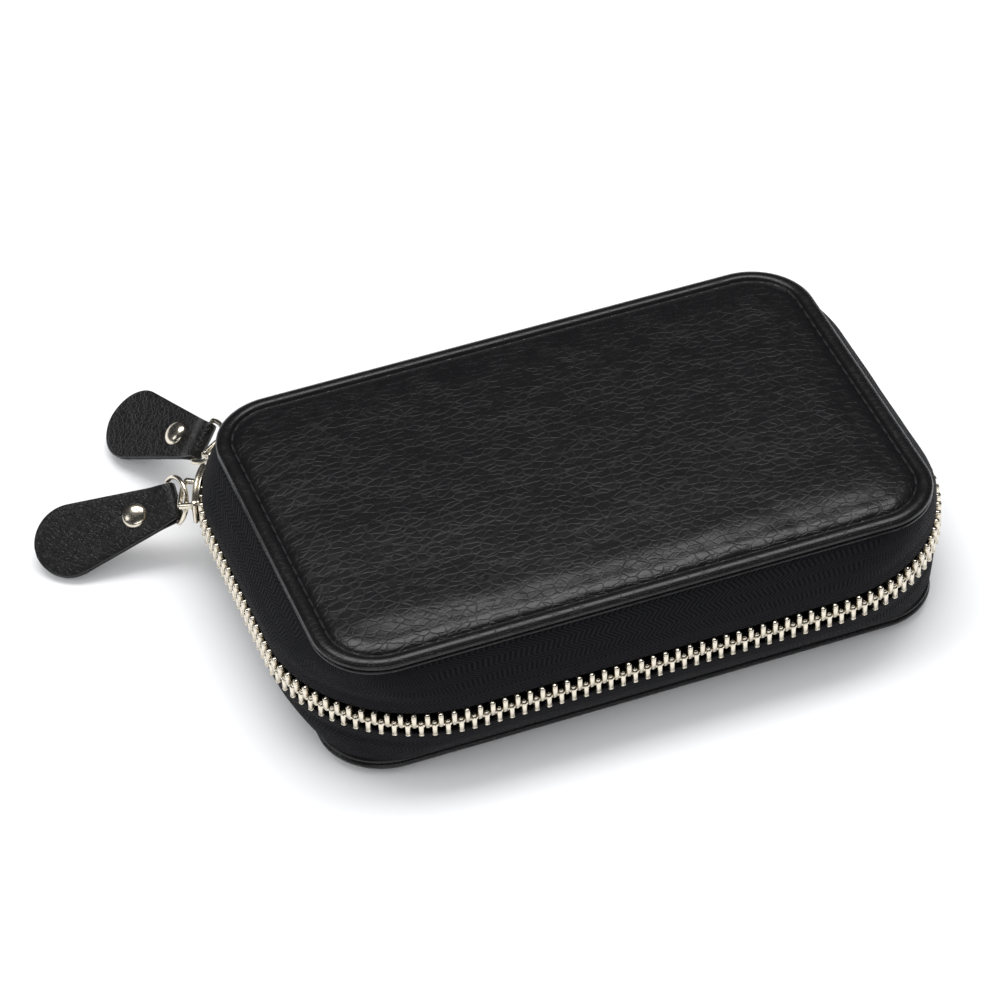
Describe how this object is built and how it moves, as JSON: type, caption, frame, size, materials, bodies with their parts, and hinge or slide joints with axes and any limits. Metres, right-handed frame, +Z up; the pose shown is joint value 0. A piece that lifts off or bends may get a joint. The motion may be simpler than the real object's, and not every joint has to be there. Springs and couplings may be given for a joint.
{
  "type": "fountain pen case",
  "caption": "Zip-around pen case with padded leather panels on a folding spine, metal zip with two sliders, strap pullers and elastic pen loops inside",
  "frame": {"origin": "centre of the flat face of the bottom cover that the case rests on", "axes": "+Z up, +X along the long side, +Y towards the folding spine"},
  "size_m": [0.2158, 0.1584, 0.039],
  "materials": {
    "leather": "pebbled black leather, satin",
    "inner_leather": "smooth black leather",
    "foam": "soft foam",
    "board": "grey-brown board",
    "lining": "plain woven lining",
    "zip_tape": "herringbone tape",
    "elastic": "ribbed elastic",
    "nickel": "pale polished nickel"
  },
  "bodies": {
    "base": {"bottom_cover": "leather", "bottom_rim": "leather", "bottom_pad": "foam", "bottom_board": "board", "bottom_lining": "lining", "lower_tape": "zip_tape", "lower_teeth": "nickel", "lower_teeth_back": "nickel", "lower_end_stops": "nickel", "pen_panel": "inner_leather", "pen_loops_left": "elastic", "pen_loops_right": "elastic"},
    "spine": {"spine_cover": "leather", "spine_board": "board", "spine_lining": "lining"},
    "lid": {"top_cover": "leather", "top_rim": "leather", "top_pad": "foam", "top_board": "board", "top_lining": "lining", "upper_tape": "zip_tape", "upper_tape_back_left": "zip_tape", "upper_teeth": "nickel", "upper_teeth_back": "nickel", "upper_end_stops": "nickel", "lid_pocket": "inner_leather", "lid_pocket_binding": "inner_leather"},
    "flap": {"divider_flap": "inner_leather"},
    "front_slider": {"front_slider": "nickel"},
    "front_ring": {"front_ring": "nickel"},
    "front_strap": {"front_strap": "leather", "front_rivet": "nickel"},
    "rear_slider": {"rear_slider": "nickel"},
    "rear_ring": {"rear_ring": "nickel"},
    "rear_strap": {"rear_strap": "leather", "rear_rivet": "nickel"}
  },
  "joints": [
    {"name": "spine_fold", "type": "hinge", "parent": "base", "child": "spine", "pos_m": [0, 0.0545, 0.004], "axis": [-1, 0, 0], "range_deg": [0, 90], "deforming": ["upper_teeth_back", "lower_teeth_back", "upper_tape_back_left"]},
    {"name": "lid_fold", "type": "hinge", "parent": "spine", "child": "lid", "pos_m": [0, 0.0545, 0.035], "axis": [-1, 0, 0], "range_deg": [0, 90], "deforming": ["upper_teeth_back", "lower_teeth_back", "upper_tape_back_left"]},
    {"name": "flap_turn", "type": "hinge", "parent": "spine", "child": "flap", "pos_m": [0, 0.05445, 0.0252], "axis": [-1, 0, 0], "range_deg": [0, 54]},
    {"name": "front_slide", "type": "hinge", "parent": "base", "child": "front_slider", "pos_m": [-0.0555, 0.0275, 0.0195], "axis": [0, 0, 1], "range_deg": [0, 18], "deforming": ["upper_teeth_back", "lower_teeth_back"]},
    {"name": "rear_slide", "type": "hinge", "parent": "base", "child": "rear_slider", "pos_m": [-0.0555, 0.0275, 0.0195], "axis": [0, 0, -1], "range_deg": [0, 10], "deforming": ["upper_teeth_back", "lower_teeth_back"]},
    {"name": "front_ring_swing", "type": "hinge", "parent": "front_slider", "child": "front_ring", "pos_m": [-0.08945, 0.0448, 0.0195], "axis": [0.048, 0.9007, 0.4318], "range_deg": [-5, 45]},
    {"name": "front_strap_swing", "type": "hinge", "parent": "front_ring", "child": "front_strap", "pos_m": [-0.09137, 0.04688, 0.01538], "axis": [0.048, 0.9007, 0.4318], "range_deg": [-40, 60]},
    {"name": "rear_ring_turn", "type": "hinge", "parent": "rear_slider", "child": "rear_ring", "pos_m": [-0.07569, 0.05981, 0.0195], "axis": [0, 0, 1], "range_deg": [0, 31.5]},
    {"name": "rear_strap_swing", "type": "hinge", "parent": "rear_ring", "child": "rear_strap", "pos_m": [-0.07775, 0.06403, 0.01779], "axis": [0.6613, 0.5353, 0.5255], "range_deg": [-5, 60]}
  ],
  "couplings": [
    {"joint": "lid_fold", "follows": "spine_fold", "ratio": 1},
    {"joint": "flap_turn", "follows": "spine_fold", "ratio": 0.6},
    {"joint": "rear_ring_turn", "follows": "spine_fold", "ratio": 0.35}
  ]
}
